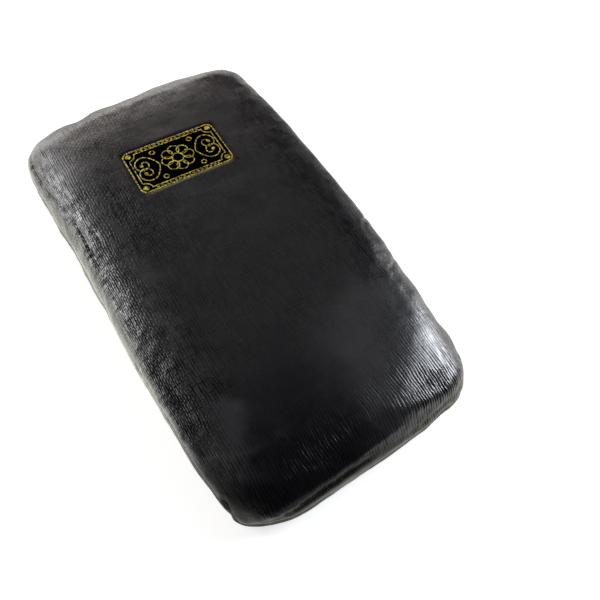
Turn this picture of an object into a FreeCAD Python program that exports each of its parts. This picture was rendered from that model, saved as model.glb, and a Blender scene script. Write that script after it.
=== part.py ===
import FreeCAD, Part
import math
import os

import Sketcher

# A dark slab pressed in a cloth and stamped on top with a gold cartouche.
# Millimetres, +Z up. The slab lies flat on Z = 0 with its length along Y, its width along X and
# the stamped end towards +Y. The origin is under the middle of its box.

dimensions = {
    "slab_length": 200.0,
    "slab_width": 112.0,
    "slab_height": 24.0,
    "right_bow_radius": 1000.0,     # the long sides swell out a little
    "right_bow_centre": 40.0,       # and are widest this far towards the stamped end
    "far_bow_radius": 260.0,        # the stamped end is arched
    "far_bow_centre": 8.0,
    "left_bow_radius": 2700.0,
    "left_bow_centre": 26.0,
    "near_bow_radius": 900.0,
    "near_bow_centre": -16.0,
    "far_right_radius": 17.0,       # plan corners, each pressed a little differently
    "far_left_radius": 14.5,
    "near_left_radius": 22.0,
    "near_right_radius": 18.0,
    "crown_radius": 1200.0,         # arch of the top across the width
    "top_rim_radius": 12.5,
    "bottom_rim_radius": 6.0,
    "stamp_centre_x": 0.2,
    "stamp_centre_y": 47.0,
    "stamp_turn": -1.8,             # degrees about Z
    "stamp_width": 42.0,
    "stamp_height": 24.6,
    "stamp_corner_radius": 3.0,
    "ground_margin": 0.3,           # black ground beyond the gold frame
    "recess_margin": 0.5,           # pressed recess beyond the gold frame
    "recess_floor": 23.45,
    "ink_thickness": 0.15,
    "outer_line": 0.55,
    "inner_line": 0.45,
    "frame_gap": 1.3,               # black band between the two frame lines
    "notch_radius": 3.2,            # hollow corners of the inner frame
    "bead_length": 1.1,
    "bead_width": 0.45,
    "bead_pitch": 2.0,
    "bead_count": 15.0,
    "boss_radius": 1.25,
    "boss_inset": 2.5,              # boss centre, in from the stamp's two edges
    "petal_radius": 2.6,
    "petal_offset": 4.8,
    "petal_count": 8.0,
    "eye_radius": 2.6,
    "stroke_width": 0.45,
    "bud_radius": 0.8,
    "spray_radius": 1.25,           # small rings above and below the stems of the scrolls
    "spray_x": 8.6,
    "spray_y": 7.5,
}

# A scroll is one stroke of arcs, each tangent to the last: (radius, turn in degrees, right is negative).
scroll = {
    "start": (8.3, 0.0),
    "heading": 75.0,
    "arcs": [(14.0, -25.0), (3.9, -170.0), (2.7, -160.0), (1.5, -170.0)],
}

doc = FreeCAD.newDocument("stamped_slab")
sheet = doc.addObject("Spreadsheet::Sheet", "sizes")
origin_point = (-1, 1)      # the sketch origin, as a constraint names it
up = FreeCAD.Vector(0, 0, 1)


def fillSheet():
    for row, (name, value) in enumerate(dimensions.items(), start=1):
        sheet.set(f"A{row}", str(value))
        sheet.setAlias(f"A{row}", name)
    doc.recompute()


def value(formula):
    # The number that a formula on the sheet's cells gives now.
    return float(sheet.evalExpression(formula))


def bind(sketch, kind, places, formula):
    # A constraint that has a size, tied to the sheet.
    index = sketch.addConstraint(Sketcher.Constraint(kind, *places, value(formula)))
    sketch.setExpression(f"Constraints[{index}]", formula)


def newBody(name):
    body = doc.addObject("PartDesign::Body", name)
    body.Label = name
    return body


def newSketch(body, name, role="XY_Plane"):
    plane = next(item for item in body.Origin.OriginFeatures if item.Role == role)
    sketch = body.newObject("Sketcher::SketchObject", name)
    sketch.AttachmentSupport = (plane, [""])
    sketch.MapMode = "FlatFace"
    return sketch


def pad(body, sketch, height):
    feature = body.newObject("PartDesign::Pad", f"{sketch.Name}_pad")
    feature.Profile = sketch
    feature.setExpression("Length", height)
    doc.recompute()
    return feature


def placeOnStamp(piece, height):
    # The stamp's own frame: its centre on the slab, turned with the stamp, at a height on the sheet.
    piece.Placement = FreeCAD.Placement(FreeCAD.Vector(), FreeCAD.Rotation(up, 1))
    piece.setExpression("Placement.Base.x", "sizes.stamp_centre_x")
    piece.setExpression("Placement.Base.y", "sizes.stamp_centre_y")
    piece.setExpression("Placement.Base.z", height)
    piece.setExpression("Placement.Rotation.Angle", "sizes.stamp_turn")


def point(x, y):
    return FreeCAD.Vector(x, y, 0)


def arc(centre, radius, start, end):
    # Counter-clockwise from start to end, in degrees.
    while end < start:
        end += 360
    return Part.ArcOfCircle(Part.Circle(centre, up, radius), math.radians(start), math.radians(end))


def bearing(centre, target):
    return math.degrees(math.atan2(target.y - centre.y, target.x - centre.x))


def cornerCentre(one, two, radius, towards):
    # Centre of the corner arc that touches two bows from inside, nearest to a point.
    first, second = one["radius"] - radius, two["radius"] - radius
    gap = two["centre"] - one["centre"]
    span = gap.Length
    along = (first ** 2 - second ** 2 + span ** 2) / (2 * span)
    across = math.sqrt(first ** 2 - along ** 2)
    gap.normalize()
    foot = one["centre"] + gap * along
    normal = FreeCAD.Vector(-gap.y, gap.x, 0)
    return min((foot + normal * across, foot - normal * across), key=towards.distanceToPoint)


def bow(name, across, along):
    # One side of the plan: a wide arc, with the formulas of its centre.
    centre, radius = point(value(across), value(along)), value(f"sizes.{name}")
    return {"name": name, "centre": centre, "radius": radius, "across": across, "along": along}


def planOutline(sketch):
    # Four bowed sides and four corners, all tangent, that fill the slab's length and width.
    sides = [
        bow("right_bow_radius", "sizes.slab_width / 2 - sizes.right_bow_radius", "sizes.right_bow_centre"),
        bow("far_bow_radius", "sizes.far_bow_centre", "sizes.slab_length / 2 - sizes.far_bow_radius"),
        bow("left_bow_radius", "sizes.left_bow_radius - sizes.slab_width / 2", "sizes.left_bow_centre"),
        bow("near_bow_radius", "sizes.near_bow_centre", "sizes.near_bow_radius - sizes.slab_length / 2"),
    ]
    corner_names = ["far_right_radius", "far_left_radius", "near_left_radius", "near_right_radius"]
    half_width, half_length = value("sizes.slab_width / 2"), value("sizes.slab_length / 2")
    box_corners = [point(half_width, half_length), point(-half_width, half_length),
                   point(-half_width, -half_length), point(half_width, -half_length)]
    centres = []
    for index, name in enumerate(corner_names):
        one, two = sides[index], sides[(index + 1) % 4]
        centres.append(cornerCentre(one, two, value(f"sizes.{name}"), box_corners[index]))
    for index, name in enumerate(corner_names):
        one, two = sides[index], sides[(index + 1) % 4]
        begin = bearing(one["centre"], centres[index - 1])
        turn = bearing(one["centre"], centres[index])
        finish = bearing(two["centre"], centres[index])
        sketch.addGeometry(arc(one["centre"], one["radius"], begin, turn))
        sketch.addGeometry(arc(centres[index], value(f"sizes.{name}"), turn, finish))
    for index in range(8):
        sketch.addConstraint(Sketcher.Constraint("Tangent", index, 2, (index + 1) % 8, 1))
    for index in range(4):
        side = sides[index]
        bind(sketch, "Radius", (2 * index,), f"sizes.{side['name']}")
        bind(sketch, "Radius", (2 * index + 1,), f"sizes.{corner_names[index]}")
        bind(sketch, "DistanceX", (*origin_point, 2 * index, 3), side["across"])
        bind(sketch, "DistanceY", (*origin_point, 2 * index, 3), side["along"])


def crownCut(body):
    # Takes off everything above the arched top, along the whole length.
    reach = value("sizes.slab_width * 0.6")
    radius, height = value("sizes.crown_radius"), value("sizes.slab_height")
    tilt = math.degrees(math.asin(reach / radius))
    edge = height - radius + math.sqrt(radius ** 2 - reach ** 2)
    above = height + 10
    sketch = newSketch(body, "crown_section", "XZ_Plane")
    sketch.addGeometry(arc(point(0, height - radius), radius, 90 - tilt, 90 + tilt))
    sketch.addGeometry(Part.LineSegment(point(-reach, edge), point(-reach, above)))
    sketch.addGeometry(Part.LineSegment(point(-reach, above), point(reach, above)))
    sketch.addGeometry(Part.LineSegment(point(reach, above), point(reach, edge)))
    for index in range(4):
        sketch.addConstraint(Sketcher.Constraint("Coincident", index, 2, (index + 1) % 4, 1))
    sketch.addConstraint(Sketcher.Constraint("Vertical", 1))
    sketch.addConstraint(Sketcher.Constraint("Horizontal", 2))
    sketch.addConstraint(Sketcher.Constraint("Vertical", 3))
    sketch.addConstraint(Sketcher.Constraint("PointOnObject", 0, 3, -2))
    sketch.addConstraint(Sketcher.Constraint("Symmetric", 0, 1, 0, 2, -2))
    bind(sketch, "Radius", (0,), "sizes.crown_radius")
    bind(sketch, "DistanceY", (*origin_point, 0, 3), "sizes.slab_height - sizes.crown_radius")
    bind(sketch, "DistanceX", (2, 1, 2, 2), "sizes.slab_width * 1.2")
    bind(sketch, "DistanceY", (*origin_point, 2, 1), "sizes.slab_height + 10")
    cut = body.newObject("PartDesign::Pocket", "crown_cut")
    cut.Profile = sketch
    cut.Type = "ThroughAll"
    cut.SideType = "Symmetric"
    doc.recompute()
    return cut


def roundRim(body, base, low, high, radius):
    # Rounds the edges that run wholly between two heights.
    names = []
    for index, edge in enumerate(base.Shape.Edges, start=1):
        if edge.BoundBox.ZMin > low and edge.BoundBox.ZMax < high:
            names.append(f"Edge{index}")
    feature = body.newObject("PartDesign::Fillet", f"{radius}_round")
    feature.Base = (base, names)
    feature.setExpression("Radius", f"sizes.{radius}")
    doc.recompute()
    return feature


def roundedRectangle(sketch, width, height, radius):
    # Four sides and four corner arcs, centred on the sketch origin.
    first = sketch.GeometryCount
    half_width, half_height, corner = value(width) / 2, value(height) / 2, value(radius)
    inner_x, inner_y = half_width - corner, half_height - corner
    sketch.addGeometry(Part.LineSegment(point(half_width, -inner_y), point(half_width, inner_y)))
    sketch.addGeometry(arc(point(inner_x, inner_y), corner, 0, 90))
    sketch.addGeometry(Part.LineSegment(point(inner_x, half_height), point(-inner_x, half_height)))
    sketch.addGeometry(arc(point(-inner_x, inner_y), corner, 90, 180))
    sketch.addGeometry(Part.LineSegment(point(-half_width, inner_y), point(-half_width, -inner_y)))
    sketch.addGeometry(arc(point(-inner_x, -inner_y), corner, 180, 270))
    sketch.addGeometry(Part.LineSegment(point(-inner_x, -half_height), point(inner_x, -half_height)))
    sketch.addGeometry(arc(point(inner_x, -inner_y), corner, 270, 360))
    for index in range(8):
        sketch.addConstraint(Sketcher.Constraint("Tangent", first + index, 2, first + (index + 1) % 8, 1))
    for side in (0, 4):
        sketch.addConstraint(Sketcher.Constraint("Vertical", first + side))
        sketch.addConstraint(Sketcher.Constraint("Horizontal", first + side + 2))
    for corner_arc in (3, 5, 7):
        sketch.addConstraint(Sketcher.Constraint("Equal", first + 1, first + corner_arc))
    sketch.addConstraint(Sketcher.Constraint("Symmetric", first + 1, 3, first + 5, 3, *origin_point))
    bind(sketch, "Radius", (first + 1,), radius)
    bind(sketch, "DistanceX", (first + 4, 1, first, 2), width)
    bind(sketch, "DistanceY", (first + 6, 2, first + 2, 1), height)


def notchedRectangle(sketch, width, height, inset, radius):
    # A rectangle whose corners are hollow arcs. The arcs are centred on the corners of width by height,
    # and the straight sides stand in from them by inset.
    first = sketch.GeometryCount
    a, b, step, notch = value(width) / 2, value(height) / 2, value(inset), value(radius)
    x, y = a - step, b - step
    shoulder = math.sqrt(notch ** 2 - step ** 2)
    swing = math.degrees(math.asin(step / notch))
    sketch.addGeometry(Part.LineSegment(point(x, shoulder - b), point(x, b - shoulder)))
    sketch.addGeometry(arc(point(a, b), notch, 180 + swing, 270 - swing))
    sketch.addGeometry(Part.LineSegment(point(a - shoulder, y), point(shoulder - a, y)))
    sketch.addGeometry(arc(point(-a, b), notch, 270 + swing, 360 - swing))
    sketch.addGeometry(Part.LineSegment(point(-x, b - shoulder), point(-x, shoulder - b)))
    sketch.addGeometry(arc(point(-a, -b), notch, swing, 90 - swing))
    sketch.addGeometry(Part.LineSegment(point(shoulder - a, -y), point(a - shoulder, -y)))
    sketch.addGeometry(arc(point(a, -b), notch, 90 + swing, 180 - swing))
    for side in (0, 2, 4, 6):
        line, hollow, following = first + side, first + side + 1, first + (side + 2) % 8
        # A hollow arc runs against the outline, so the line before it meets its end.
        sketch.addConstraint(Sketcher.Constraint("Coincident", line, 2, hollow, 2))
        sketch.addConstraint(Sketcher.Constraint("Coincident", hollow, 1, following, 1))
        sketch.addConstraint(Sketcher.Constraint("Vertical" if side in (0, 4) else "Horizontal", line))
    for index, (sign_x, sign_y) in enumerate(((1, 1), (-1, 1), (-1, -1), (1, -1))):
        hollow = first + 2 * index + 1
        bind(sketch, "Radius", (hollow,), radius)
        bind(sketch, "DistanceX", (*origin_point, hollow, 3), f"{sign_x} * ({width}) / 2")
        bind(sketch, "DistanceY", (*origin_point, hollow, 3), f"{sign_y} * ({height}) / 2")
    for side, sign in ((0, 1), (4, -1)):
        upright, level = first + side, first + side + 2
        bind(sketch, "DistanceX", (*origin_point, upright, 1), f"{sign} * (({width}) / 2 - ({inset}))")
        bind(sketch, "DistanceY", (*origin_point, level, 1), f"{sign} * (({height}) / 2 - ({inset}))")


def ring(sketch, x, y, radius, line):
    # Two circles about one centre: a line of even width round a circle.
    first = sketch.GeometryCount
    centre = point(value(x), value(y))
    for index, formula in enumerate((radius, f"{radius} - {line}")):
        sketch.addGeometry(Part.Circle(centre, up, value(formula)))
        bind(sketch, "Radius", (first + index,), formula)
        bind(sketch, "DistanceX", (*origin_point, first + index, 3), x)
        bind(sketch, "DistanceY", (*origin_point, first + index, 3), y)


def pressedSlab():
    body = newBody("pressed_slab")
    plan = newSketch(body, "slab_plan")
    planOutline(plan)
    pad(body, plan, "sizes.slab_height")
    crown = crownCut(body)
    middle = value("sizes.slab_height / 2")
    top_round = roundRim(body, crown, middle, value("sizes.slab_height + 10"), "top_rim_radius")
    roundRim(body, top_round, -1, 0.1, "bottom_rim_radius")
    recess = newSketch(body, "recess_plan")
    recess.AttachmentOffset = FreeCAD.Placement(FreeCAD.Vector(), FreeCAD.Rotation(up, 1))
    recess.setExpression("AttachmentOffset.Base.x", "sizes.stamp_centre_x")
    recess.setExpression("AttachmentOffset.Base.y", "sizes.stamp_centre_y")
    recess.setExpression("AttachmentOffset.Base.z", "sizes.recess_floor")
    recess.setExpression("AttachmentOffset.Rotation.Angle", "sizes.stamp_turn")
    roundedRectangle(recess, "sizes.stamp_width + 2 * sizes.recess_margin",
                     "sizes.stamp_height + 2 * sizes.recess_margin",
                     "sizes.stamp_corner_radius + sizes.recess_margin")
    doc.recompute()
    before = body.Shape.Volume
    pocket = body.newObject("PartDesign::Pocket", "stamp_recess")
    pocket.Profile = recess
    pocket.Type = "ThroughAll"
    pocket.Reversed = True
    doc.recompute()
    print(f"recess takes {before - body.Shape.Volume:.0f} mm3 off {before:.0f} mm3")
    return body


def stampGround():
    body = newBody("stamp_ground")
    sketch = newSketch(body, "ground_plan")
    roundedRectangle(sketch, "sizes.stamp_width + 2 * sizes.ground_margin",
                     "sizes.stamp_height + 2 * sizes.ground_margin",
                     "sizes.stamp_corner_radius + sizes.ground_margin")
    pad(body, sketch, "sizes.ink_thickness")
    placeOnStamp(body, "sizes.recess_floor")
    return body


def goldBody(name, draw):
    # A flat gold line on the black ground. draw fills the sketch.
    body = newBody(name)
    sketch = newSketch(body, f"{name}_plan")
    draw(sketch)
    pad(body, sketch, "sizes.ink_thickness")
    placeOnStamp(body, "sizes.recess_floor + sizes.ink_thickness")
    return body


def outerFrame(sketch):
    roundedRectangle(sketch, "sizes.stamp_width", "sizes.stamp_height", "sizes.stamp_corner_radius")
    roundedRectangle(sketch, "sizes.stamp_width - 2 * sizes.outer_line",
                     "sizes.stamp_height - 2 * sizes.outer_line",
                     "sizes.stamp_corner_radius - sizes.outer_line")


def innerFrame(sketch):
    width = "sizes.stamp_width - 2 * sizes.outer_line - 2 * sizes.frame_gap"
    height = "sizes.stamp_height - 2 * sizes.outer_line - 2 * sizes.frame_gap"
    notchedRectangle(sketch, width, height, "0", "sizes.notch_radius")
    notchedRectangle(sketch, width, height, "sizes.inner_line", "sizes.notch_radius + sizes.inner_line")


def cornerBosses(sketch):
    # A round boss in each hollow corner.
    x = "(sizes.stamp_width / 2 - sizes.boss_inset)"
    y = "(sizes.stamp_height / 2 - sizes.boss_inset)"
    for index, (sign_x, sign_y) in enumerate(((1, 1), (-1, 1), (-1, -1), (1, -1))):
        formula_x, formula_y = f"{sign_x} * {x}", f"{sign_y} * {y}"
        centre = point(value(formula_x), value(formula_y))
        sketch.addGeometry(Part.Circle(centre, up, value("sizes.boss_radius")))
        bind(sketch, "Radius", (index,), "sizes.boss_radius")
        bind(sketch, "DistanceX", (*origin_point, index, 3), formula_x)
        bind(sketch, "DistanceY", (*origin_point, index, 3), formula_y)


def firstBeads(sketch):
    # The leftmost bead of the upper and of the lower row, midway between the frame lines.
    left = "-(sizes.bead_count - 1) / 2 * sizes.bead_pitch - sizes.bead_length / 2"
    row = "(sizes.stamp_height / 2 - sizes.outer_line - sizes.frame_gap / 2)"
    start, end = value(left), value(left) + value("sizes.bead_length")
    for index, sign in enumerate((1, -1)):
        first = 4 * index
        low = sign * value(row) - value("sizes.bead_width") / 2
        high = low + value("sizes.bead_width")
        corners = [point(start, low), point(end, low), point(end, high), point(start, high)]
        for step in range(4):
            sketch.addGeometry(Part.LineSegment(corners[step], corners[(step + 1) % 4]))
        for step in range(4):
            line, following = first + step, first + (step + 1) % 4
            sketch.addConstraint(Sketcher.Constraint("Coincident", line, 2, following, 1))
            sketch.addConstraint(Sketcher.Constraint(("Horizontal", "Vertical")[step % 2], line))
        bind(sketch, "DistanceX", (first, 1, first, 2), "sizes.bead_length")
        bind(sketch, "DistanceY", (first + 1, 1, first + 1, 2), "sizes.bead_width")
        bind(sketch, "DistanceX", (*origin_point, first, 1), left)
        bind(sketch, "DistanceY", (*origin_point, first, 1), f"{sign} * {row} - sizes.bead_width / 2")


def beadRows():
    body = goldBody("bead_rows", firstBeads)
    axis = next(item for item in body.Origin.OriginFeatures if item.Role == "X_Axis")
    pattern = body.newObject("PartDesign::LinearPattern", "bead_pattern")
    pattern.Originals = [body.Tip]
    pattern.Direction = (axis, [""])
    pattern.setExpression("Length", "(sizes.bead_count - 1) * sizes.bead_pitch")
    pattern.setExpression("Occurrences", "sizes.bead_count")
    body.Tip = pattern
    doc.recompute()
    return body


def centreRosette():
    # Eight petal rings that lace through each other round an eye.
    body = goldBody("centre_rosette", lambda sketch: ring(
        sketch, "sizes.petal_offset", "0", "sizes.petal_radius", "sizes.stroke_width"))
    axis = next(item for item in body.Origin.OriginFeatures if item.Role == "Z_Axis")
    pattern = body.newObject("PartDesign::PolarPattern", "petal_pattern")
    pattern.Originals = [body.Tip]
    pattern.Axis = (axis, [""])
    pattern.Angle = 360
    pattern.setExpression("Occurrences", "sizes.petal_count")
    body.Tip = pattern
    doc.recompute()
    eye = newSketch(body, "eye_plan")
    ring(eye, "0", "0", "sizes.eye_radius", "sizes.stroke_width")
    pad(body, eye, "sizes.ink_thickness")
    return body


def strokePath():
    # Follows the scroll's arcs from its start, and gives the wire and its far end.
    position = point(*scroll["start"])
    heading = math.radians(scroll["heading"])
    edges = []
    for radius, turn in scroll["arcs"]:
        side = math.copysign(1, turn)
        centre = position + point(-math.sin(heading), math.cos(heading)) * side * radius
        spoke = position - centre
        half = FreeCAD.Rotation(up, turn / 2)
        middle = centre + half.multVec(spoke)
        end = centre + half.multVec(half.multVec(spoke))
        edges.append(Part.Arc(position, middle, end).toShape())
        position = end
        heading += math.radians(turn)
    return Part.Wire(edges), position


def scrolls(name, side):
    # A scroll with a bud at its end and a small ring beside its stem, above and below the middle line.
    thickness, line = value("sizes.ink_thickness"), value("sizes.stroke_width")
    path, bud = strokePath()
    spray = point(value("sizes.spray_x"), value("sizes.spray_y"))
    spray_radius = value("sizes.spray_radius")
    stroke = path.makeOffset2D(line / 2, 0, True, False).extrude(up * thickness)
    shapes = [
        stroke.fuse(Part.makeCylinder(value("sizes.bud_radius"), thickness, bud, up)),
        Part.makeCylinder(spray_radius, thickness, spray, up).cut(
            Part.makeCylinder(spray_radius - line, thickness, spray, up)),
    ]
    across, along = FreeCAD.Vector(1, 0, 0), FreeCAD.Vector(0, 1, 0)
    shapes += [shape.mirror(FreeCAD.Vector(), along) for shape in shapes]
    if side < 0:
        shapes = [shape.mirror(FreeCAD.Vector(), across) for shape in shapes]
    piece = doc.addObject("Part::Feature", name)
    piece.Label = name
    piece.Shape = shapes[0].fuse(shapes[1:]).removeSplitter()
    placeOnStamp(piece, "sizes.recess_floor + sizes.ink_thickness")
    doc.recompute()
    return piece


def checkAndWrite(pieces):
    doc.recompute()
    for item in doc.Objects:
        if "Invalid" in item.State or "Error" in item.State:
            raise RuntimeError(f"{item.Name} failed: {item.State}")
    for piece in pieces:
        if piece.Shape.isNull() or not piece.Shape.isValid():
            raise RuntimeError(f"{piece.Label} has no valid shape")
    os.makedirs("parts", exist_ok=True)
    for piece in pieces:
        box = piece.Shape.BoundBox
        print(f"{piece.Label}: {len(piece.Shape.Solids)} solids, {piece.Shape.Volume:.2f} mm3, "
              f"Z {box.ZMin:.2f} to {box.ZMax:.2f}")
        piece.Shape.exportStep(f"parts/{piece.Label}.step")


fillSheet()
pieces = [
    pressedSlab(),
    stampGround(),
    goldBody("outer_frame", outerFrame),
    goldBody("inner_frame", innerFrame),
    goldBody("corner_bosses", cornerBosses),
    beadRows(),
    centreRosette(),
    scrolls("left_scrolls", -1),
    scrolls("right_scrolls", 1),
]
checkAndWrite(pieces)
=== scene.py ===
import math

import bpy
import numpy as np
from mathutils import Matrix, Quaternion, Vector
from mathutils.kdtree import KDTree


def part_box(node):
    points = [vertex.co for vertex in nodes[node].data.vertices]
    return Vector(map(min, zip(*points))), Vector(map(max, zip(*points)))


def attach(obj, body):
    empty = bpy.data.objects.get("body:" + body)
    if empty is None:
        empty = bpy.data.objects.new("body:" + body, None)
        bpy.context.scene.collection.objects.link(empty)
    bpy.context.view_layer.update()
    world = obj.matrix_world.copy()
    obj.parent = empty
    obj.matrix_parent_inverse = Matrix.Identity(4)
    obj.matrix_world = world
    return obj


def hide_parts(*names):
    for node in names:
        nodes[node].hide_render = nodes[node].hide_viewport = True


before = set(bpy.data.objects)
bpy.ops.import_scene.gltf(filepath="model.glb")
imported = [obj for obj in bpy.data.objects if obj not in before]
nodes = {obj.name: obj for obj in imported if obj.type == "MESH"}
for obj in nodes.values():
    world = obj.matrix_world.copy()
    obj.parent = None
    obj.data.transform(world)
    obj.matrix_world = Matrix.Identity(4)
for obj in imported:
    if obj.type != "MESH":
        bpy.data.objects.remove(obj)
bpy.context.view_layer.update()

mm = 0.001
leastWeight = 0.004         # points that would move less than this share stay out of a vertex group
frameLow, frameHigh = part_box("outer_frame")
stampCentre = (frameLow + frameHigh) / 2


def selectOnly(obj):
    bpy.ops.object.select_all(action="DESELECT")
    obj.select_set(True)
    bpy.context.view_layer.objects.active = obj


def readPoints(obj):
    # every vertex, in millimetres
    points = np.empty(len(obj.data.vertices) * 3)
    obj.data.vertices.foreach_get("co", points)
    return points.reshape(-1, 3) / mm


def readNormals(obj):
    normals = np.empty(len(obj.data.vertices) * 3)
    obj.data.vertices.foreach_get("normal", normals)
    return normals.reshape(-1, 3)


def applyModifier(obj, kind, **settings):
    modifier = obj.modifiers.new(kind.lower(), kind)
    for name, value in settings.items():
        setattr(modifier, name, value)
    selectOnly(obj)
    bpy.ops.object.modifier_apply(modifier=modifier.name)


def paintGroup(obj, name, weights):
    group = obj.vertex_groups.new(name=name)
    for index in np.flatnonzero(weights > leastWeight):
        group.add([int(index)], float(weights[index]), "REPLACE")


def pushPainted(obj, weights, depth, direction="NORMAL"):
    # moves the surface by depth millimetres where the weight is 1
    paintGroup(obj, "painted", weights)
    applyModifier(obj, "DISPLACE", vertex_group="painted", strength=depth * mm, mid_level=0.0,
                  direction=direction)
    obj.vertex_groups.remove(obj.vertex_groups["painted"])


def pushTexture(obj, kind, size, depth, group, **settings):
    texture = bpy.data.textures.new(kind.lower(), kind)
    texture.noise_scale = size * mm
    for name, value in settings.items():
        setattr(texture, name, value)
    applyModifier(obj, "DISPLACE", texture=texture, texture_coords="LOCAL", direction="NORMAL",
                  mid_level=0.5, strength=depth * mm, vertex_group=group)


def smoothStep(value, low, high):
    share = np.clip((value - low) / (high - low), 0, 1)
    return share * share * (3 - 2 * share)


def vertexTree(points):
    tree = KDTree(len(points))
    for index, point in enumerate(points):
        tree.insert(point, index)
    tree.balance()
    return tree


# The slab. Sizes are in millimetres. A pair such as rimInset is where something sets in and where it is full.
slab = {
    "voxel": 0.78,
    "bottomRatio": 0.06, "bottomHeight": 0.1, "bottomSlope": -0.99,    # share of its faces that is kept
    "freeFrom": 1.5, "freeOver": 7, "freeHeight": 3,              # lumps spare the stamp and the underside
    "rimInset": (6, 20),
    "lumpSize": 34, "lumpDepth": 0.9,
    "rippleSize": 9, "rippleDepth": 0.25,
    "crinkleSize": 8, "crinkleDepth": 0.16,
    "beltHeight": (6.5, 11),                                      # heights that the outline is taken from
    "pillowReach": 28, "pillowDrop": 3.0, "pillowPower": 2.2,     # the top sinks towards its rim
    "pillowMost": 0.45, "pillowFrom": 8, "pillowOver": 12,
    "tightLeft": 7, "tightLeftX": (15, 40), "tightLeftY": (-80, -55),
    "flatRightX": (15, 45), "flatRightY": (-48, -30),
    "sagStart": 0.1, "sagMost": 8, "sagFrom": 9, "sagOver": 8,
    "seamHeight": 9.0, "seamWidth": 0.9, "seamDepth": 0.55,       # where the two halves of the cloth met
    "seamWander": ((3, 0.6, 1.1), (7, 2.0, 0.7), (17, 0.0, 0.35)),     # waves round it, start and size
    "seamEven": 0.6, "seamUneven": ((5, 1.0, 0.25), (11, 0.0, 0.15)),              # written the same way
    "seamSlope": (-0.75, -0.45), "lipBelow": 1.9, "lipWidth": 1.1, "lipShare": 0.8,
    "halfSize": (56, 100),
    "routeSteps": 16,                                             # per stretch of a crease's route
    "routeFade": 0.4, "markReach": 2.2,
    "creaseWall": 0.45, "creaseSpread": 2.4, "creaseFloor": 1.3,
    "stampSize": (42.0, 24.6), "stampTurn": -1.8,                 # the turn is in degrees
    "weavePitch": 1.12,
}

# Corners where the top sags past a line: two places on it, the tilt in degrees and the bend's width.
sags = [
    {"line": ((14, -92), (47, -60)), "tilt": 10, "bend": 2.2},
    {"line": ((-42, 30), (-28, 99)), "tilt": 4, "bend": 6},
]

# Where hands and cloth pushed the soft block: place, push and reach.
handPushes = [
    ((-55, -79, 10), (1.6, 0, 0), 13),
    ((-55, -60, 13), (0.6, 0, 0), 20),
    ((-55, -38, 13), (0.4, 0, 0), 20),
    ((-56, 6, 13), (1.2, 0, 0), 18),
    ((-56, 19, 12), (0.9, 0, 0), 10),
    ((-56, 32, 13), (1.5, 0, 0), 18),
    ((-56, 70, 11), (-0.5, 0, 0), 16),
    ((-53, 88, 14), (-0.9, 0.5, 0), 12),
    ((50, 89, 15), (0.8, 0.8, 0), 12),
    ((55, 45, 14), (0.5, 0, 0), 18),
    ((51, -58, 15), (0.7, 0, 0), 18),
    ((54, -62, 14), (-0.4, 0, 0), 8),
    ((52, -77, 12), (1.4, 0, 0), 8),
    ((30, -99, 10), (0, 0.9, 0), 10),
    ((-39, -99, 8), (0.3, 0.8, 0), 11),
    ((-51, -92, 9), (-0.4, -0.5, 0), 6),
    ((-53, -86, 9), (1.1, 0.2, 0), 7),
    ((-42, 99, 14), (-0.8, 2.6, 0), 16),
    ((-32, 101, 15), (0, 1.6, 0), 11),
    ((-18, 100, 15), (0, 1.9, 0), 13),
    ((11, 101, 15), (0, 1.5, 0), 11),
    ((22, 101, 14), (0, 1.9, 0), 16),
]

# Creases left by the cloth: places along each, then its width and depth.
creases = [
    {"route": [(-51, 86, 15), (-52, 80, 15), (-53, 74, 16), (-54, 67, 16)], "width": 0.9, "depth": 0.8},
    {"route": [(-54, 68, 16), (-53, 61, 17), (-51, 52, 19), (-50, 45, 20)], "width": 0.9, "depth": 0.8},
    {"route": [(-50, 62, 20), (-48, 55, 21), (-46, 50, 22)], "width": 0.9, "depth": 0.5},
    {"route": [(-49, 40, 20), (-49, 31, 20), (-49, 22, 20), (-49, 14, 20)], "width": 0.9, "depth": 0.8},
    {"route": [(-46, 33, 22), (-45, 27, 23), (-45, 20, 23)], "width": 0.8, "depth": 0.4},
    {"route": [(-48, 20, 22), (-51, 20, 19)], "width": 0.7, "depth": 0.4},
    {"route": [(-51, 3, 19), (-50, -2, 20), (-50, -9, 20)], "width": 0.7, "depth": 0.35},
    {"route": [(-49, -83, 16), (-50, -86, 13), (-50, -90, 8)], "width": 0.8, "depth": 0.7},
    {"route": [(-41, -95, 13), (-33, -96, 14), (-24, -96, 15), (-13, -97, 16), (-3, -97, 16)],
     "width": 1.2, "depth": 0.8},
    {"route": [(4, -97, 15), (18, -98, 14), (33, -97, 13)], "width": 1.4, "depth": 0.5},
    {"route": [(-55, -22, 14), (-55, -40, 14), (-54, -58, 13), (-53, -72, 13), (-52, -84, 12)],
     "width": 0.9, "depth": 0.6},
    {"route": [(54, -12, 14), (51, -19, 19), (47, -23, 21)], "width": 0.9, "depth": 0.5},
    {"route": [(52, -38, 15), (48, -43, 20), (43, -45, 22)], "width": 0.9, "depth": 0.3},
]

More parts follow.
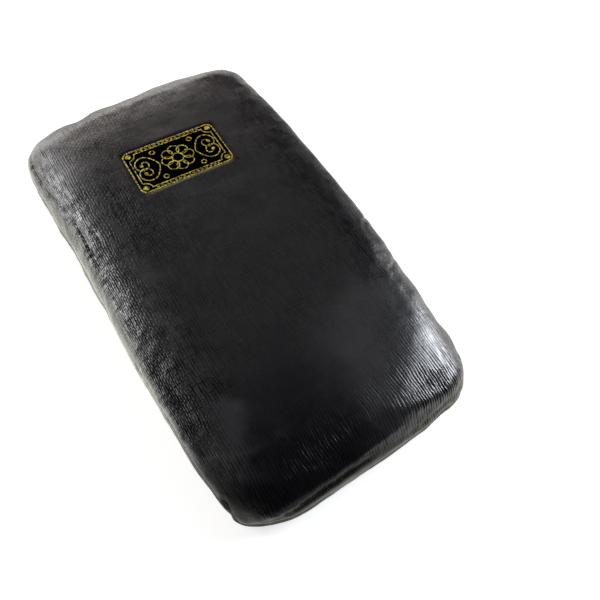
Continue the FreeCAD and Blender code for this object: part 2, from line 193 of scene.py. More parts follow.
# Raised ridges where the cloth was gathered, written the same way.
ridges = [
    {"route": [(-53, 70, 17), (-53, 62, 18), (-52, 50, 19), (-51, 35, 20), (-51, 20, 20), (-51, 4, 20),
               (-51, -8, 20)], "width": 1.2, "depth": 0.4},
    {"route": [(-51, -8, 20), (-53, -37, 19), (-53, -54, 18), (-52, -68, 17), (-51, -81, 16)],
     "width": 1.2, "depth": 0.4},
    {"route": [(-52, 66, 17), (-51, 35, 18), (-51, -8, 18), (-51, -40, 18), (-50, -74, 17)],
     "width": 4.2, "depth": 1.2},
    {"route": [(-52, -12, 18), (-52, -40, 18), (-52, -60, 18), (-50, -82, 17)], "width": 3.4, "depth": 2.1},
    {"route": [(-51, -80, 16), (-51, -86, 13), (-52, -90, 6)], "width": 1.2, "depth": 0.8},
    {"route": [(-45, -94, 14), (-34, -94, 17), (-24, -95, 18), (-13, -95, 18), (8, -95, 19), (14, -94, 20)],
     "width": 1.8, "depth": 0.35},
    {"route": [(10, -91, 22), (20, -94, 21), (31, -96, 19), (42, -94, 18), (51, -85, 17)],
     "width": 3.2, "depth": 1.3},
    {"route": [(10, -92, 22), (20, -95, 21), (31, -97, 19), (43, -95, 18), (52, -85, 17)],
     "width": 1.0, "depth": 0.4},
    {"route": [(52, 78, 18), (52, 50, 19), (52, 20, 19), (52, -10, 19), (51, -28, 19), (50, -42, 19)],
     "width": 3.6, "depth": 1.1},
    {"route": [(-45, -76, 20), (-40, -78, 22), (-30, -79, 24), (-22, -78, 24)], "width": 1.8, "depth": 0.25},
    {"route": [(-44, -82, 19), (-35, -90, 20), (-22, -92, 20)], "width": 1.8, "depth": 0.3},
]


def duplicateSlab():
    selectOnly(nodes["pressed_slab"])
    bpy.ops.object.duplicate()
    skin = bpy.context.object
    skin.name = "slabSkin"
    for label in list(skin.keys()):
        del skin[label]
    skin.parent = None
    bpy.ops.object.mode_set(mode="EDIT")
    bpy.ops.mesh.select_all(action="SELECT")
    bpy.ops.mesh.remove_doubles(threshold=1e-6)
    bpy.ops.object.mode_set(mode="OBJECT")
    applyModifier(skin, "REMESH", mode="VOXEL", voxel_size=slab["voxel"] * mm)
    return skin


def stampGap(points):
    # how far each point is outside the stamp's frame, seen from above
    centre = np.array(stampCentre[:2]) / mm
    half = np.array(frameHigh - frameLow)[:2] / mm / 2
    return np.hypot(*np.clip(np.abs(points[:, :2] - centre) - half, 0, None).T)


def edgeDistance(points):
    # how far each point stands in from the slab's outline, seen from above
    heights = points[:, 2]
    lowest, highest = slab["beltHeight"]
    belt = points[(heights > lowest) & (heights < highest)] * (1, 1, 0)
    tree = vertexTree(belt)
    return np.array([tree.find((x, y, 0.0))[2] for x, y, z in points])


def sinkRim(skin):
    points = readPoints(skin)
    inset = edgeDistance(points)
    x, y, z = points.T
    left = smoothStep(-x, *slab["tightLeftX"]) * smoothStep(-np.abs(y), *slab["tightLeftY"])
    reach = slab["pillowReach"] - slab["tightLeft"] * left
    fall = np.clip(1 - inset / reach, 0, 1) ** slab["pillowPower"]
    lift = np.clip((z - slab["pillowFrom"]) / slab["pillowOver"], 0, 1)
    flatRight = smoothStep(x, *slab["flatRightX"]) * smoothStep(y, *slab["flatRightY"])
    pushPainted(skin, np.minimum(fall, slab["pillowMost"]) * lift * (1 - flatRight), -slab["pillowDrop"], "Z")


def sagCorners(skin):
    most = slab["sagMost"]
    for sag in sags:
        points = readPoints(skin)
        start, end = np.array(sag["line"], float)
        run = (end - start) / np.linalg.norm(end - start)
        outwards = np.array((run[1], -run[0]))
        if outwards @ start < 0:
            outwards = -outwards
        past = (points[:, :2] - start) @ outwards
        drop = (np.sqrt(past ** 2 + sag["bend"] ** 2) + past) / 2 * math.tan(math.radians(sag["tilt"]))
        lift = np.clip((points[:, 2] - slab["sagFrom"]) / slab["sagOver"], 0, 1)
        drop = np.clip(drop - slab["sagStart"], 0, most) * lift
        pushPainted(skin, drop / most, -most, "Z")


def pushByHand(skin):
    # the nearest point to each place is dragged, and its surroundings follow softly
    bpy.ops.object.mode_set(mode="EDIT")
    bpy.ops.mesh.select_mode(type="VERT")
    for place, push, reach in handPushes:
        bpy.ops.mesh.select_all(action="DESELECT")
        bpy.ops.object.mode_set(mode="OBJECT")
        gaps = ((readPoints(skin) - np.array(place)) ** 2).sum(1)
        skin.data.vertices[int(gaps.argmin())].select = True
        bpy.ops.object.mode_set(mode="EDIT")
        bpy.ops.transform.translate(value=tuple(step * mm for step in push), use_proportional_edit=True,
                                    proportional_edit_falloff="SMOOTH", proportional_size=reach * mm)
    bpy.ops.object.mode_set(mode="OBJECT")


def sumOfWaves(around, waves):
    return sum(size * np.sin(count * around + start) for count, start, size in waves)


def pressSeam(skin):
    # a wandering groove with a lip under it runs round the sides
    points, normals = readPoints(skin), readNormals(skin)
    halfX, halfY = slab["halfSize"]
    around = np.arctan2(points[:, 1] / halfY, points[:, 0] / halfX)
    wander = sumOfWaves(around, slab["seamWander"])
    depth = slab["seamEven"] + sumOfWaves(around, slab["seamUneven"])
    side = smoothStep(-np.abs(normals[:, 2]), *slab["seamSlope"])
    step = (points[:, 2] - slab["seamHeight"] - wander) / slab["seamWidth"]
    lip = (step + slab["lipBelow"]) / slab["lipWidth"]
    pushPainted(skin, np.exp(-step ** 2) * depth * side, -slab["seamDepth"])
    pushPainted(skin, np.exp(-lip ** 2) * depth * side, slab["lipShare"] * slab["seamDepth"])


def pressMarks(skin, marks, outward, spread=1.0):
    # each route is laid on the surface, and the surface moves along it
    points = readPoints(skin)
    tree = vertexTree(points)
    deepest = max(mark["depth"] for mark in marks)
    weights = np.zeros(len(points))
    for mark in marks:
        places = [Vector(place) for place in mark["route"]]
        spots = [start.lerp(end, step / slab["routeSteps"]) for start, end in zip(places[:-1], places[1:])
                 for step in range(slab["routeSteps"])] + [places[-1]]
        reach = mark["width"] * spread
        for order, spot in enumerate(spots):
            fade = math.sin(math.pi * (order + 0.5) / len(spots)) ** slab["routeFade"]
            for place, index, gap in tree.find_range(tree.find(spot)[0], slab["markReach"] * reach):
                weight = math.exp(-(gap / reach) ** 2) * fade * mark["depth"] / deepest
                weights[index] = max(weights[index], weight)
    pushPainted(skin, weights, outward * deepest)


def thinUnderside(skin):
    # the flat underside needs few faces
    bpy.ops.object.mode_set(mode="EDIT")
    bpy.ops.mesh.select_mode(type="FACE")
    bpy.ops.mesh.select_all(action="DESELECT")
    bpy.ops.object.mode_set(mode="OBJECT")
    for face in skin.data.polygons:
        face.select = face.center.z < slab["bottomHeight"] * mm and face.normal.z < slab["bottomSlope"]
    bpy.ops.object.mode_set(mode="EDIT")
    bpy.ops.mesh.decimate(ratio=slab["bottomRatio"])
    bpy.ops.object.mode_set(mode="OBJECT")


def makeSlab():
    skin = duplicateSlab()
    points = readPoints(skin)
    free = np.clip((stampGap(points) - slab["freeFrom"]) / slab["freeOver"], 0, 1)
    free = free * np.clip(points[:, 2] / slab["freeHeight"], 0, 1)
    paintGroup(skin, "handMoved", free)
    paintGroup(skin, "rimMoved", free * (1 - smoothStep(edgeDistance(points), *slab["rimInset"])))
    pushTexture(skin, "CLOUDS", slab["lumpSize"], slab["lumpDepth"], "handMoved")
    pushTexture(skin, "CLOUDS", slab["rippleSize"], slab["rippleDepth"], "handMoved")
    pushTexture(skin, "MUSGRAVE", slab["crinkleSize"], slab["crinkleDepth"], "rimMoved",
                musgrave_type="RIDGED_MULTIFRACTAL", octaves=2.0)
    sinkRim(skin)
    sagCorners(skin)
    pushByHand(skin)
    pressSeam(skin)
    pressMarks(skin, ridges, 1.0)
    pressMarks(skin, creases, slab["creaseWall"], spread=slab["creaseSpread"])
    pressMarks(skin, creases, -slab["creaseFloor"])
    thinUnderside(skin)
    skin.vertex_groups.clear()
    selectOnly(skin)
    bpy.ops.object.shade_smooth()
    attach(skin, "root")
    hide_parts("pressed_slab")
    triangles = sum(len(face.vertices) - 2 for face in skin.data.polygons)
    print("slab:", triangles, "triangles")
    return skin


# Small helpers for node trees.

def newMaterial(name):
    material = bpy.data.materials.new(name)
    material.use_nodes = True
    tree = material.node_tree
    return material, tree, tree.nodes["Principled BSDF"]


def addNode(tree, kind, **settings):
    node = tree.nodes.new(kind)
    for name, value in settings.items():
        setattr(node, name, value)
    return node


def feed(tree, source, target):
    # a plain value sets the socket, anything else is linked to it
    if isinstance(source, (int, float, tuple)):
        target.default_value = source
    else:
        tree.links.new(source, target)


def maths(tree, operation, first, second=0.0, third=0.0):
    node = addNode(tree, "ShaderNodeMath", operation=operation)
    for socket, value in zip(node.inputs, (first, second, third)):
        feed(tree, value, socket)
    return node.outputs[0]


def ramp(tree, value, stops):
    node = addNode(tree, "ShaderNodeValToRGB")
    node.color_ramp.interpolation = "EASE"
    elements = node.color_ramp.elements
    while len(elements) < len(stops):
        elements.new(0.5)
    for element, (place, colour) in zip(elements, stops):
        element.position = place
        element.color = (*colour, 1.0)
    feed(tree, value, node.inputs[0])
    return node.outputs["Color"]


def between(tree, value, low, high, fromLow=0.0, toHigh=1.0):
    # smooth step of a value from low to high
    if low > high:
        low, high, fromLow, toHigh = high, low, toHigh, fromLow
    node = addNode(tree, "ShaderNodeMapRange", interpolation_type="SMOOTHSTEP")
    for socket, number in zip(node.inputs, (value, low, high, fromLow, toHigh)):
        feed(tree, number, socket)
    return node.outputs[0]


def mixColour(tree, factor, first, second):
    node = addNode(tree, "ShaderNodeMix", data_type="RGBA", blend_type="MIX")
    feed(tree, factor, node.inputs["Factor"])
    feed(tree, first if not isinstance(first, tuple) else (*first, 1.0), node.inputs[6])
    feed(tree, second if not isinstance(second, tuple) else (*second, 1.0), node.inputs[7])
    return node.outputs[2]


def noise(tree, vector, scale, detail=3.0, roughness=0.5, distortion=0.0):
    node = addNode(tree, "ShaderNodeTexNoise")
    feed(tree, vector, node.inputs["Vector"])
    settings = {"Scale": scale, "Detail": detail, "Roughness": roughness, "Distortion": distortion}
    for name, value in settings.items():
        node.inputs[name].default_value = value
    return node.outputs["Fac"]


def axesOf(tree, vector):
    node = addNode(tree, "ShaderNodeSeparateXYZ")
    feed(tree, vector, node.inputs[0])
    return node.outputs


def vectorOf(tree, x, y, z=0.0):
    node = addNode(tree, "ShaderNodeCombineXYZ")
    for socket, value in zip(node.inputs, (x, y, z)):
        feed(tree, value, socket)
    return node.outputs[0]


def inMillimetres(tree, centre=(0.0, 0.0, 0.0), turn=0.0, stretch=(1.0, 1.0, 1.0)):
    # Object coordinates, centred on a place and counted in millimetres
    coordinates = addNode(tree, "ShaderNodeTexCoord")
    mapping = addNode(tree, "ShaderNodeMapping", vector_type="TEXTURE")
    mapping.inputs["Location"].default_value = centre
    mapping.inputs["Rotation"].default_value = (0.0, 0.0, turn)
    mapping.inputs["Scale"].default_value = tuple(mm / value for value in stretch)
    tree.links.new(coordinates.outputs["Object"], mapping.inputs["Vector"])
    return mapping.outputs["Vector"]


def product(tree, *values):
    total = values[0]
    for value in values[1:]:
        total = maths(tree, "MULTIPLY", total, value)
    return total


def largest(tree, *values):
    total = values[0]
    for value in values[1:]:
        total = maths(tree, "MAXIMUM", total, value)
    return total


def relief(tree, shader, height, distance):
    bump = addNode(tree, "ShaderNodeBump")
    bump.inputs["Distance"].default_value = distance
    tree.links.new(height, bump.inputs["Height"])
    tree.links.new(bump.outputs["Normal"], shader.inputs["Normal"])


def newGroup(name, inputs, outputs):
    tree = bpy.data.node_groups.new(name, "ShaderNodeTree")
    for label, kind in inputs:
        tree.interface.new_socket(label, in_out="INPUT", socket_type="NodeSocket" + kind)
    for label in outputs:
        tree.interface.new_socket(label, in_out="OUTPUT", socket_type="NodeSocketFloat")
    return tree, addNode(tree, "NodeGroupInput").outputs, addNode(tree, "NodeGroupOutput").inputs


# The print that the cloth left. Lengths are in millimetres, and noise sizes are counts to the millimetre.
cloth = {
    "top": 24.0, "foldX": (42, 54), "foldY": (86, 98),     # where the cloth bends down over the sides
    "driftSize": (0.05, 0.06), "drift": 4.0,               # the threads wander over the whole slab
    "jitterSize": (0.55, 0.6), "jitter": 0.5,
    "bunchAcross": 0.75, "bunchAlong": 0.14, "bunchOther": 7.0, "bunching": 2.6,
    "ribPower": 2.4, "ribBlend": 0.12,
    "hidden": 0.33, "weftShown": 0.6, "weftLeast": 0.1,
    "warpGap": (0.45, 0.8), "weftGap": (0.65, 1.0),        # fractions of a thread
    "crossing": (-82, -60, 0.15, 0.9),                     # along Y, crossing threads fade at the near end
}


def clothPrintGroup():
    # the print that a plain weave leaves, with the cloth folded down over the sides
    inputs = [("Millimetres", "Vector"), ("Pitch", "Float")]
    tree, given, out = newGroup("clothPrint", inputs, ["Height", "Grooves"])
    place = given["Millimetres"]
    x, y, z = axesOf(tree, place)
    swapped = vectorOf(tree, y, x, z)
    depth = maths(tree, "SUBTRACT", cloth["top"], z)
    downX = product(tree, depth, between(tree, maths(tree, "ABSOLUTE", x), *cloth["foldX"]))
    downY = product(tree, depth, between(tree, maths(tree, "ABSOLUTE", y), *cloth["foldY"]))
    acrossX = maths(tree, "MULTIPLY_ADD", maths(tree, "SIGN", x), downX, x)
    acrossY = maths(tree, "MULTIPLY_ADD", maths(tree, "SIGN", y), downY, y)
    counts = []
    for across, where, driftSize, jitterSize in zip((acrossX, acrossY), (place, swapped), cloth["driftSize"],
                                                    cloth["jitterSize"]):
        wide, fine = noise(tree, where, driftSize, detail=2.0), noise(tree, where, jitterSize, detail=2.0)
        moved = maths(tree, "MULTIPLY_ADD", wide, cloth["drift"], across)
        moved = maths(tree, "MULTIPLY_ADD", fine, cloth["jitter"], moved)
        counts.append(maths(tree, "DIVIDE", moved, given["Pitch"]))
    # threads come in uneven bunches, so some are fat and some thin
    shares = (cloth["bunchAcross"], cloth["bunchAlong"])
    bunches = []
    for (shareX, shareY), other in zip((shares, shares[::-1]), (0.0, cloth["bunchOther"])):
        where = vectorOf(tree, product(tree, acrossX, shareX), product(tree, acrossY, shareY), other)
        bunches.append(noise(tree, where, 1.0, detail=2.0))
    offsets = []
    ribs = []
    for count, bunch in zip(counts, bunches):
        offset = product(tree, maths(tree, "PINGPONG", count, 0.5), 2.0)
        offset = maths(tree, "MULTIPLY_ADD", maths(tree, "SUBTRACT", bunch, 0.5), cloth["bunching"], offset)
        offset = largest(tree, offset, 0.0)
        offsets.append(offset)
        fall = maths(tree, "POWER", maths(tree, "MINIMUM", offset, 1.0), cloth["ribPower"])
        ribs.append(maths(tree, "SUBTRACT", 1.0, fall))
    # each thread goes over and under the crossing ones in turn
    waves = [maths(tree, "COSINE", product(tree, count, math.pi)) for count in counts]
    over = maths(tree, "MULTIPLY_ADD", product(tree, *waves), 0.5, 0.5)
    under = maths(tree, "SUBTRACT", 1.0, over)
    crossing = between(tree, y, *cloth["crossing"])
    hidden = product(tree, under, cloth["hidden"], crossing)
    warp = product(tree, ribs[0], maths(tree, "SUBTRACT", 1.0, hidden))
    shown = maths(tree, "MULTIPLY_ADD", under, cloth["weftShown"], cloth["weftLeast"])
    weft = product(tree, ribs[1], shown, crossing)
    tree.links.new(maths(tree, "SMOOTH_MAX", warp, weft, cloth["ribBlend"]), out["Height"])
    warpGap = between(tree, offsets[0], *cloth["warpGap"])
    weftGap = between(tree, offsets[1], *cloth["weftGap"], 0.0, crossing)
    tree.links.new(largest(tree, warpGap, weftGap), out["Grooves"])
    return tree


# Finishes of the slab. Heights and reaches are in millimetres, and noise sizes are counts to the millimetre.
finish = {
    "weaveHeight": 0.17, "grainHeight": 0.06, "waveHeight": 0.08,
    "blotchSize": 0.06, "streakSize": 0.16, "roughSize": 0.11, "waveSize": 0.13, "grainSize": 1.4,
    "streakStretch": (0.25, 1.0, 1.0), "waveStretch": (0.35, 1.0, 1.0),
    "glossy": 0.2, "dull": 0.28, "grainRough": 0.06,
    "printLeast": 0.2, "quiet": 0.6, "farLeft": 0.8,
    "patchyPrint": (0.35, 0.6, 0.6, 1.0), "patchyHazeAndBloom": (0.3, 0.7, 0.4, 1.0), "roughSpan": (0.3, 0.7),
    "borderShift": 26.0,                                   # how far the borders of the polish wander
    "haloReach": 2.4, "haloInner": 0.6, "haloStart": 0.8, "haloMost": 0.85,
    "haloRagged": 1.6, "haloSize": 0.5,
}

# Where each finish sets in and is full, in millimetres along the axis that ends its name.
# Where four numbers are given, the last two are the strengths at these places.
zones = {
    "rimX": (26, 50), "rimY": (66, 92),
    "farLeftX": (0, -32), "farLeftY": (-10, 25),
    "printZ": (6, 15, 0.25, 1.0),
    "quietY": (-52, -64), "quietRightX": (24, 10), "quietLeftX": (-46, -36),
    "hazeAndBloomY": (10, 98),
    "paintedShadeY": (-30, -85), "paintedShadeX": (35, -20),
    "lowerSideZ": (18, 12),
    "patchX": (-10, 36), "patchY": (-38, -68),
    "rightRimX": (47, 51), "rightRimY": (25, -15),
    "leftRimX": (-31, -49), "leftRimY": (-92, -60),
    "sheenZ": (15.5, 19.5),
    "mattZ": (19, 15), "mattY": (-85, -97, 0.0, 0.6),
}

# Colours of the slab, some of them painted light. Where Metallic is near 1, the groove colour is a painted
# shade that does not shine, and the sheen colour is a painted sheen that shines more.
tones = {
    "body": (0.0165, 0.0157, 0.0168),
    # a dusty bloom with painted reflection haze, warm and lighter
    "paintedHazeAndBloom": (0.044, 0.033, 0.033),
    # painted shade, blue black, for the near left
    "paintedShadeBlue": (0.0012, 0.001, 0.0025),
    # a lighter olive tone on the lower sides
    "lowerSideTone": (0.075, 0.073, 0.054),
    # painted sheen: a brighter metallic reflection for the patch and the rims
    "paintedSheen": (0.115, 0.116, 0.119),
    # painted shade that darkens the grooves of the print
    "paintedGrooveShade": (0.0006, 0.0006, 0.0008),
}


def slabMaterial():
    material, tree, shader = newMaterial("pressedResin")
    place = inMillimetres(tree)
    x, y, z = axesOf(tree, place)
    sideX, sideY = maths(tree, "ABSOLUTE", x), maths(tree, "ABSOLUTE", y)
    blotches = noise(tree, place, finish["blotchSize"], detail=4.0, roughness=0.6)

    def zone(value, name):
        return between(tree, value, *zones[name])

    # the cloth printed the rims and the far left more than the middle, and the left of the near end less
    weave = addNode(tree, "ShaderNodeGroup", node_tree=clothPrintGroup())
    tree.links.new(place, weave.inputs["Millimetres"])
    weave.inputs["Pitch"].default_value = slab["weavePitch"]
    farLeft = product(tree, zone(x, "farLeftX"), zone(y, "farLeftY"), finish["farLeft"])
    rim = largest(tree, zone(sideX, "rimX"), zone(sideY, "rimY"), farLeft)
    least = finish["printLeast"]
    printed = maths(tree, "MULTIPLY_ADD", rim, 1.0 - least, least)
    printed = product(tree, printed, between(tree, blotches, *finish["patchyPrint"]), zone(z, "printZ"))
    quiet = product(tree, zone(y, "quietY"), zone(x, "quietRightX"), zone(x, "quietLeftX"))
    printed = product(tree, printed, maths(tree, "MULTIPLY_ADD", quiet, -finish["quiet"], 1.0))
    # a dusty bloom in streaks with painted reflection haze, lighter and warmer towards the far end; painted
    # shade, blue black, at the near left; a lighter olive tone on the lower sides
    stretched = inMillimetres(tree, stretch=finish["streakStretch"])
    streaks = noise(tree, stretched, finish["streakSize"], detail=4.0, roughness=0.6)
    # dusty bloom with painted reflection haze, growing towards the far end
    paintedHazeAndBloom = product(tree, zone(y, "hazeAndBloomY"), between(tree, streaks, *finish["patchyHazeAndBloom"]))
    # painted shade: the near left is darkened to blue black
    nearLeftShade = product(tree, zone(y, "paintedShadeY"), zone(x, "paintedShadeX"))
    colour = mixColour(tree, paintedHazeAndBloom, tones["body"], tones["paintedHazeAndBloom"])
    colour = mixColour(tree, nearLeftShade, colour, tones["paintedShadeBlue"])
    # the lower sides turn lighter and olive
    colour = mixColour(tree, zone(z, "lowerSideZ"), colour, tones["lowerSideTone"])
    # a painted sheen: a brighter metallic reflection laid on a patch at the near right, the near half of the
    # right rim and the left rim
    shift = maths(tree, "MULTIPLY_ADD", blotches, finish["borderShift"], -finish["borderShift"] / 2)
    wavyX, wavyY = maths(tree, "ADD", x, shift), maths(tree, "ADD", y, shift)
    patch = product(tree, zone(wavyX, "patchX"), zone(wavyY, "patchY"))
    rightRim = product(tree, zone(x, "rightRimX"), zone(wavyY, "rightRimY"))
    leftRim = product(tree, zone(wavyX, "leftRimX"), zone(wavyY, "leftRimY"))
    sheenMask = product(tree, largest(tree, patch, rightRim, leftRim), zone(z, "sheenZ"))
    colour = mixColour(tree, sheenMask, colour, tones["paintedSheen"])
    # painted shade: the grooves of the print are darkened and kept from shining
    grooveShade = product(tree, weave.outputs["Grooves"], printed)
    colour = mixColour(tree, grooveShade, colour, tones["paintedGrooveShade"])
    tree.links.new(colour, shader.inputs["Base Color"])
    # the grooves, darkened with painted shade, the foot of the near end and the ragged halo round the stamp
    # shine less, and the painted sheen more
    stampPlace = inMillimetres(tree, centre=tuple(stampCentre), turn=math.radians(slab["stampTurn"]))
    stampX, stampY, stampZ = axesOf(tree, stampPlace)
    stampLong, stampWide = slab["stampSize"]
    outX = maths(tree, "SUBTRACT", maths(tree, "ABSOLUTE", stampX), stampLong / 2)
    outY = maths(tree, "SUBTRACT", maths(tree, "ABSOLUTE", stampY), stampWide / 2)
    ragged = noise(tree, place, finish["haloSize"])
    outside = maths(tree, "MULTIPLY_ADD", ragged, finish["haloRagged"], largest(tree, outX, outY))
    haloEnd = finish["haloStart"] + finish["haloReach"]
    halo = between(tree, outside, haloEnd, finish["haloInner"], 0.0, finish["haloMost"])
    matt = product(tree, zone(z, "mattZ"), zone(y, "mattY"))
    tree.links.new(largest(tree, grooveShade, matt, halo, sheenMask), shader.inputs["Metallic"])
    grain = noise(tree, place, finish["grainSize"], roughness=0.65)
    roughness = noise(tree, place, finish["roughSize"], detail=4.0, roughness=0.6)
    roughness = between(tree, roughness, *finish["roughSpan"], finish["glossy"], finish["dull"])
    roughness = maths(tree, "MULTIPLY_ADD", grain, finish["grainRough"], roughness)
    tree.links.new(roughness, shader.inputs["Roughness"])
    # the relief is weave, grain and the soft waves of the pressed surface
    stretched = inMillimetres(tree, stretch=finish["waveStretch"])
    waves = noise(tree, stretched, finish["waveSize"], distortion=0.6)
    height = product(tree, weave.outputs["Height"], printed, finish["weaveHeight"])
    grainy = product(tree, maths(tree, "MULTIPLY_ADD", printed, 1.0 - least, least), finish["grainHeight"])
    height = maths(tree, "MULTIPLY_ADD", grain, grainy, height)
    height = maths(tree, "MULTIPLY_ADD", waves, finish["waveHeight"], height)
    relief(tree, shader, height, mm)
    return material


def printGrainGroup():
    # the uneven film that both colours of the print are made of
    inputs = [("Millimetres", "Vector"), ("Scale", "Float"), ("Roughness", "Float")]
    tree, given, out = newGroup("printGrain", inputs, ["Grain"])
    node = addNode(tree, "ShaderNodeTexNoise")
    node.inputs["Detail"].default_value = 4.0
    for label, target in (("Millimetres", "Vector"), ("Scale", "Scale"), ("Roughness", "Roughness")):
        tree.links.new(given[label], node.inputs[target])
    tree.links.new(node.outputs["Fac"], out["Grain"])
    return tree


def printGrain(tree, place, look):
    node = addNode(tree, "ShaderNodeGroup", node_tree=bpy.data.node_groups["printGrain"])
    tree.links.new(place, node.inputs["Millimetres"])
    node.inputs["Scale"].default_value = look["grainSize"]
    node.inputs["Roughness"].default_value = look["grainRoughness"]
    return node.outputs["Grain"]


# The gold of the print, worn through to the dark in places. Depths are in millimetres.
gold = {
    "grainSize": 1.1, "grainRoughness": 0.65, "depth": 0.08, "metallic": 0.3,
    "worn": (0.425, (0.015, 0.012, 0.002)), "thin": (0.52, (0.48, 0.38, 0.02)),
    "whole": (0.62, (1.0, 0.90, 0.14)),
    "blotSize": 0.25, "blots": (0.6, 0.71), "blot": (0.85, 0.38, 0.02),
    "roughness": (0.35, 0.65, 0.6, 0.3),
}

# The black of the print.
ground = {
    "grainSize": 1.4, "grainRoughness": 0.5, "depth": 0.06,
    "deep": (0.35, (0.0004, 0.0004, 0.0006)), "high": (0.7, (0.002, 0.002, 0.0026)),
    "specular": 0.12, "tint": (0.1, 0.1, 0.1, 1.0), "roughness": 0.15,
}


def goldMaterial():
    material, tree, shader = newMaterial("goldPrint")
    place = inMillimetres(tree)
    wear = printGrain(tree, place, gold)
    colour = ramp(tree, wear, [gold["worn"], gold["thin"], gold["whole"]])
    blots = between(tree, noise(tree, place, gold["blotSize"], detail=2.0), *gold["blots"])
    tree.links.new(mixColour(tree, blots, colour, gold["blot"]), shader.inputs["Base Color"])
    shader.inputs["Metallic"].default_value = gold["metallic"]
    tree.links.new(between(tree, wear, *gold["roughness"]), shader.inputs["Roughness"])
    relief(tree, shader, wear, gold["depth"] * mm)
    return material


def blackGroundMaterial():
    material, tree, shader = newMaterial("blackGround")
    grain = printGrain(tree, inMillimetres(tree), ground)
    tree.links.new(ramp(tree, grain, [ground["deep"], ground["high"]]), shader.inputs["Base Color"])
    shader.inputs["Specular IOR Level"].default_value = ground["specular"]
    shader.inputs["Metallic"].default_value = 1.0          # on a black base this keeps it from shining
    shader.inputs["Specular Tint"].default_value = ground["tint"]
    roughness = maths(tree, "MULTIPLY_ADD", grain, ground["roughness"], ground["roughness"])
    tree.links.new(roughness, shader.inputs["Roughness"])
    relief(tree, shader, grain, ground["depth"] * mm)
    return material


def dress(obj, material):
    obj.data.materials.clear()
    obj.data.materials.append(material)


# The camera. Angles are in degrees, its distance and aim in metres, its lens in millimetres.
view = {
    "azimuth": -37.6, "elevation": 59.7, "roll": 5.2, "distance": 0.2287,
    "aim": (0.0145, -0.0282, 0.0), "lens": 33.0, "clip": (0.005, 20.0),
}


def placeCamera():
    azimuth, elevation = math.radians(view["azimuth"]), math.radians(view["elevation"])
    back = Vector((math.sin(azimuth) * math.cos(elevation), -math.cos(azimuth) * math.cos(elevation),
                   math.sin(elevation)))
    data = bpy.data.cameras.new("camera")
    data.lens = view["lens"]
    data.clip_start, data.clip_end = view["clip"]
    camera = bpy.data.objects.new("camera", data)
    bpy.context.scene.collection.objects.link(camera)
    camera.location = Vector(view["aim"]) + back * view["distance"]
    camera.rotation_mode = "QUATERNION"
    tilt = Quaternion((0, 0, 1), math.radians(view["roll"]))
    camera.rotation_quaternion = (-back).to_track_quat("-Z", "Y") @ tilt
    bpy.context.scene.camera = camera


# The pale floor. Its size is in metres, and the places where its reflection changes are in millimetres.
floorLook = {
    "size": 8.0, "roughness": 0.6, "specular": 0.2,
    "seenColour": (0.93, 0.93, 0.925), "seenGlow": (0.68, 0.68, 0.676), "hiddenColour": (0.5, 0.5, 0.49),
    "leftX": (-50, -57), "leftY": (-75, -35), "leftGlow": (1.75, 1.75, 1.58),
    "rightX": (5, 45), "rightGlow": (0.90, 0.90, 0.85),
    "nearY": (-110, -150), "nearGlow": (0.04, 0.04, 0.04), "middleGlow": (0.40, 0.40, 0.38),
}


def layFloor():
    bpy.ops.object.select_all(action="DESELECT")
    bpy.ops.mesh.primitive_plane_add(size=floorLook["size"], location=(0, 0, 0))
    floor = bpy.context.object
    floor.name = "floor"
    material, tree, shader = newMaterial("paleFloor")
    # the camera sees the floor burnt out to white, the slab mirrors one that is dim in front
    # and bright at the left
    seen = addNode(tree, "ShaderNodeLightPath").outputs["Is Camera Ray"]
    x, y, z = axesOf(tree, inMillimetres(tree))
    left = product(tree, between(tree, x, *floorLook["leftX"]), between(tree, y, *floorLook["leftY"]))
    near = between(tree, y, *floorLook["nearY"])
    spill = mixColour(tree, near, floorLook["middleGlow"], floorLook["nearGlow"])
    spill = mixColour(tree, between(tree, x, *floorLook["rightX"]), spill, floorLook["rightGlow"])
    spill = mixColour(tree, left, spill, floorLook["leftGlow"])
    colour = mixColour(tree, seen, floorLook["hiddenColour"], floorLook["seenColour"])
    tree.links.new(colour, shader.inputs["Base Color"])
    tree.links.new(mixColour(tree, seen, spill, floorLook["seenGlow"]), shader.inputs["Emission Color"])
    shader.inputs["Emission Strength"].default_value = 1.0
    shader.inputs["Roughness"].default_value = floorLook["roughness"]
    shader.inputs["Specular IOR Level"].default_value = floorLook["specular"]
    dress(floor, material)


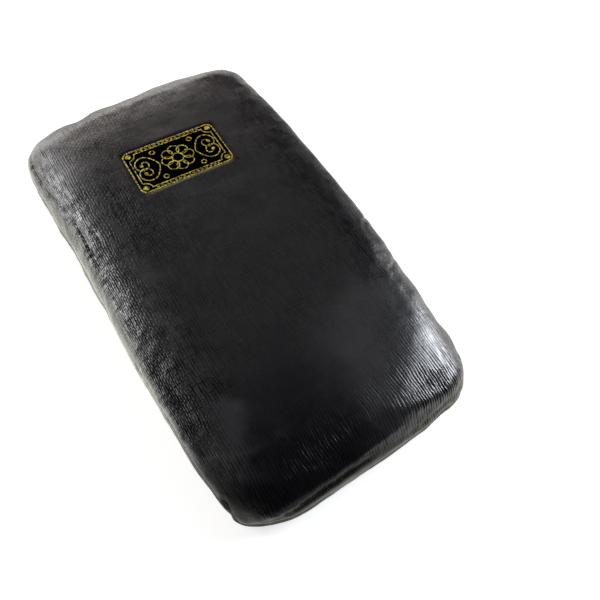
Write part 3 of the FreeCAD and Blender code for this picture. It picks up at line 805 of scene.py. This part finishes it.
# Soft lobes of studio light. A bearing of 0 looks along +Y and 90 along +X, and each lobe is full inside
# one angle from its middle and gone outside the other. All angles are in degrees.
lobes = {
    "backWall": {"bearing": 0, "rise": 4, "full": 14, "fade": 40,
        "strength": 3.2, "colour": (1.0, 0.955, 0.90)},
    "backTop": {"bearing": 22, "rise": 48, "full": 8, "fade": 32,
        "strength": 0.12, "colour": (1.0, 0.98, 0.97)},
    "leftLow": {"bearing": -50, "rise": 4, "full": 10, "fade": 26,
        "strength": 4.4, "colour": (1.0, 0.99, 0.93)},
    "leftBox": {"bearing": -34, "rise": 28, "full": 6, "fade": 14,
        "strength": 7.6, "colour": (0.98, 0.98, 1.0)},
    "rightTop": {"bearing": 92, "rise": 46, "full": 6, "fade": 12,
        "strength": 2.6, "colour": (0.88, 0.93, 1.0)},
    "rightMiddle": {"bearing": 98, "rise": 27, "full": 7, "fade": 15,
        "strength": 9.5, "colour": (0.9, 0.94, 1.0)},
    "rightFoot": {"bearing": 93, "rise": 14, "full": 8, "fade": 17,
        "strength": 8.0, "colour": (0.95, 0.97, 1.0)},
    "rightLow": {"bearing": 74, "rise": 24, "full": 5, "fade": 13,
        "strength": 1.6, "colour": (0.9, 0.95, 1.0)},
}
darkRoom = (0.06, 0.059, 0.066)          # the light where there is no lobe
whiteRoom = (1.0, 1.0, 0.995)            # what the camera sees past the floor


def lightStudio():
    world = bpy.data.worlds.new("studio")
    bpy.context.scene.world = world
    world.use_nodes = True
    tree = world.node_tree
    coordinates = addNode(tree, "ShaderNodeTexCoord")
    total = darkRoom
    for name, lobe in lobes.items():
        bearing, rise = math.radians(lobe["bearing"]), math.radians(lobe["rise"])
        aim = addNode(tree, "ShaderNodeVectorMath", operation="DOT_PRODUCT", label=name)
        tree.links.new(coordinates.outputs["Generated"], aim.inputs[0])
        aim.inputs[1].default_value = (math.sin(bearing) * math.cos(rise), math.cos(bearing) * math.cos(rise),
                                       math.sin(rise))
        glow = between(tree, aim.outputs["Value"], math.cos(math.radians(lobe["fade"])),
                       math.cos(math.radians(lobe["full"])))
        shade = addNode(tree, "ShaderNodeVectorMath", operation="SCALE")
        shade.inputs[0].default_value = tuple(part * lobe["strength"] for part in lobe["colour"])
        tree.links.new(glow, shade.inputs["Scale"])
        adding = addNode(tree, "ShaderNodeVectorMath", operation="ADD")
        feed(tree, total, adding.inputs[0])
        tree.links.new(shade.outputs[0], adding.inputs[1])
        total = adding.outputs[0]
    seen = addNode(tree, "ShaderNodeLightPath").outputs["Is Camera Ray"]
    tree.links.new(mixColour(tree, seen, total, whiteRoom), tree.nodes["Background"].inputs["Color"])
    bpy.context.scene.view_settings.view_transform = "Standard"


skin = makeSlab()
dress(skin, slabMaterial())
printGrainGroup()
goldFilm = goldMaterial()
for name in ("outer_frame", "inner_frame", "corner_bosses", "bead_rows", "centre_rosette",
             "left_scrolls", "right_scrolls"):
    dress(nodes[name], goldFilm)
dress(nodes["stamp_ground"], blackGroundMaterial())
print("materials: slab, gold and black ground")
placeCamera()
print("camera: placed")
layFloor()
lightStudio()
print("studio: floor and", len(lobes), "lobes of light")
